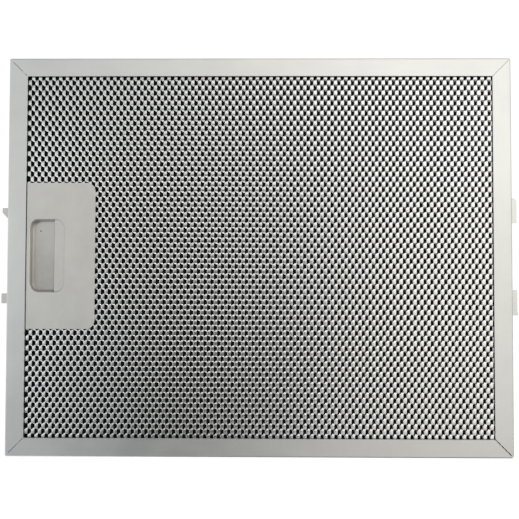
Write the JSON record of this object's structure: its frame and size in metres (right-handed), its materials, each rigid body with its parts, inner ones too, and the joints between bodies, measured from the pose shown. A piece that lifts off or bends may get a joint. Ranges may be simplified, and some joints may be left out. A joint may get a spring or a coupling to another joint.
{
  "type": "cooker hood carbon filter",
  "caption": "Flat rectangular hood filter: folded metal frame round expanded mesh over a black carbon mat, with a sprung finger latch at one end and fixed tabs at the other.",
  "frame": {"origin": "centre of the panel on its back face, where it lies flat", "axes": "+X from the latch end to the end with the fixed tabs, +Y across the panel, +Z out of the face that has the handle"},
  "size_m": [0.3276, 0.253, 0.009],
  "materials": {
    "frame_aluminium": "satin anodised",
    "handle_aluminium": "satin",
    "mesh_aluminium": "bright, as expanded",
    "carbon_felt": "matt felt with carbon grains",
    "tray_steel": "zinc plated",
    "spring_steel": "rolled"
  },
  "bodies": {
    "panel": {"frame": "frame_aluminium", "joint_rivet": "frame_aluminium", "front_mesh": "mesh_aluminium", "back_mesh": "mesh_aluminium", "carbon_mat": "carbon_felt", "handle_plate": "handle_aluminium", "latch_housing": "tray_steel", "latch_spring": "spring_steel"},
    "latch": {"latch_slide": "handle_aluminium"}
  },
  "joints": [
    {"name": "latch_slide_in", "type": "slide", "parent": "panel", "child": "latch", "axis": [1, 0, 0], "range_m": [0, 0.004], "stiffness_N_per_m": 300, "springref_m": -0.006, "deforming": ["latch_spring"]}
  ]
}
